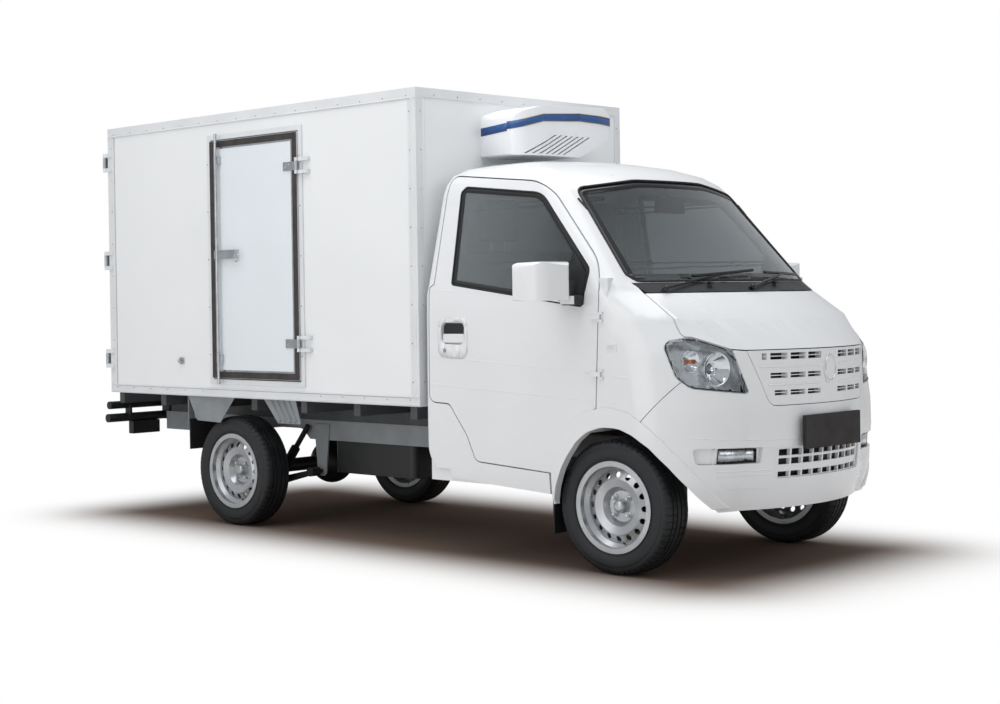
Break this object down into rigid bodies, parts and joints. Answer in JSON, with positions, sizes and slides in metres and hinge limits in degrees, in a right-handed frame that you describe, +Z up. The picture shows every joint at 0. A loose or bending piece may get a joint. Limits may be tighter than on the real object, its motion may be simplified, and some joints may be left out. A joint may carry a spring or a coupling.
{
  "type": "refrigerated truck",
  "caption": "Light delivery truck with a forward cab, an insulated box body with side and rear doors, and a refrigeration unit above the cab.",
  "frame": {"origin": "centre of the truck's footprint, on the ground under its tyres", "axes": "+X towards the front of the cab, +Y to the truck's left, +Z up"},
  "size_m": [4.17, 2.0046, 2.1599],
  "materials": {
    "body_paint": "semi_gloss",
    "box_panel": "semi_gloss",
    "rail_alloy": "satin",
    "door_chrome": "polished",
    "frame_steel": "matte",
    "engine_iron": "matte",
    "tank_steel": "satin",
    "black_trim": "matte",
    "clear_glass": "gloss",
    "lamp_lens": "gloss",
    "seat_cloth": "matte",
    "wheel_steel": "satin",
    "tyre_rubber": "matte",
    "plate_face": "semi_gloss"
  },
  "bodies": {
    "chassis": {"arch_flares": "body_paint", "body_brackets": "frame_steel", "box_bearers": "frame_steel", "box_panels": "box_panel", "box_rails": "rail_alloy", "cab_body": "body_paint", "chassis_frame": "frame_steel", "cowl_panel": "black_trim", "dashboard": "black_trim", "engine_block": "engine_iron", "evaporator": "box_panel", "exhaust": "tank_steel", "fenders": "body_paint", "fixed_glass": "clear_glass", "fog_lamps": "lamp_lens", "front_bumper": "body_paint", "front_grille": "body_paint", "front_panel": "frame_steel", "front_suspension": "frame_steel", "fuel_tank": "tank_steel", "headlamps": "lamp_lens", "leaf_springs": "frame_steel", "lower_grille": "body_paint", "mud_flaps": "black_trim", "number_plates": "plate_face", "rear_axle": "frame_steel", "rear_underrun": "frame_steel", "refrigeration_unit": "box_panel", "seats": "seat_cloth", "side_door_frame": "black_trim", "tail_lamps": "lamp_lens", "wipers": "black_trim"},
    "cab_door_right": {"cab_door_right": "body_paint", "door_glass_right": "clear_glass", "mirror_right": "body_paint"},
    "cab_door_left": {"cab_door_left": "body_paint", "door_glass_left": "clear_glass", "mirror_left": "body_paint"},
    "box_side_door": {"side_door": "box_panel", "side_door_gear": "door_chrome"},
    "rear_door_left": {"rear_door_left": "box_panel", "rear_door_gear_left": "door_chrome"},
    "rear_door_right": {"rear_door_right": "box_panel", "rear_door_gear_right": "door_chrome"},
    "bonnet": {"bonnet": "body_paint"},
    "knuckle_left": {"knuckle_left": "frame_steel"},
    "knuckle_right": {"knuckle_right": "frame_steel"},
    "steering_wheel": {"steering_wheel": "black_trim"},
    "wheel_front_left": {"rim_front_left": "wheel_steel", "tyre_front_left": "tyre_rubber"},
    "wheel_front_right": {"rim_front_right": "wheel_steel", "tyre_front_right": "tyre_rubber"},
    "wheel_rear_left": {"rim_rear_left": "wheel_steel", "tyre_rear_left": "tyre_rubber"},
    "wheel_rear_right": {"rim_rear_right": "wheel_steel", "tyre_rear_right": "tyre_rubber"}
  },
  "joints": [
    {"name": "right_door_hinge", "type": "hinge", "parent": "chassis", "child": "cab_door_right", "pos_m": [1.448, -0.7695, 1], "axis": [0, 0, 1], "range_deg": [0, 70]},
    {"name": "left_door_hinge", "type": "hinge", "parent": "chassis", "child": "cab_door_left", "pos_m": [1.448, 0.7695, 1], "axis": [0, 0, -1], "range_deg": [0, 70]},
    {"name": "side_door_hinge", "type": "hinge", "parent": "chassis", "child": "box_side_door", "pos_m": [-0.418, -0.79, 1.4], "axis": [0, 0, 1], "range_deg": [0, 175]},
    {"name": "rear_left_door_hinge", "type": "hinge", "parent": "chassis", "child": "rear_door_left", "pos_m": [-2.062, 0.772, 1.4], "axis": [0, 0, -1], "range_deg": [0, 240]},
    {"name": "rear_right_door_hinge", "type": "hinge", "parent": "chassis", "child": "rear_door_right", "pos_m": [-2.062, -0.772, 1.4], "axis": [0, 0, 1], "range_deg": [0, 240]},
    {"name": "bonnet_hinge", "type": "hinge", "parent": "chassis", "child": "bonnet", "pos_m": [1.58, 0, 1.3], "axis": [0, -1, 0], "range_deg": [0, 50]},
    {"name": "left_steering", "type": "hinge", "parent": "chassis", "child": "knuckle_left", "pos_m": [1.46, 0.59, 0.2], "axis": [0, -0.2014, 0.9795], "range_deg": [-32, 32]},
    {"name": "right_steering", "type": "hinge", "parent": "chassis", "child": "knuckle_right", "pos_m": [1.46, -0.59, 0.2], "axis": [0, 0.2014, 0.9795], "range_deg": [-32, 32]},
    {"name": "steering_column", "type": "hinge", "parent": "chassis", "child": "steering_wheel", "pos_m": [1.099, 0.37, 1.139], "axis": [-0.6428, 0, 0.766], "range_deg": [-450, 450]},
    {"name": "front_left_wheel_spin", "type": "hinge", "parent": "knuckle_left", "child": "wheel_front_left", "pos_m": [1.46, 0.635, 0.287], "axis": [0, 1, 0], "continuous": true},
    {"name": "front_right_wheel_spin", "type": "hinge", "parent": "knuckle_right", "child": "wheel_front_right", "pos_m": [1.46, -0.635, 0.287], "axis": [0, 1, 0], "continuous": true},
    {"name": "rear_left_wheel_spin", "type": "hinge", "parent": "chassis", "child": "wheel_rear_left", "pos_m": [-1.04, 0.635, 0.287], "axis": [0, 1, 0], "continuous": true},
    {"name": "rear_right_wheel_spin", "type": "hinge", "parent": "chassis", "child": "wheel_rear_right", "pos_m": [-1.04, -0.635, 0.287], "axis": [0, 1, 0], "continuous": true}
  ],
  "couplings": [
    {"joint": "right_steering", "follows": "left_steering", "ratio": 1},
    {"joint": "steering_column", "follows": "left_steering", "ratio": 14}
  ]
}
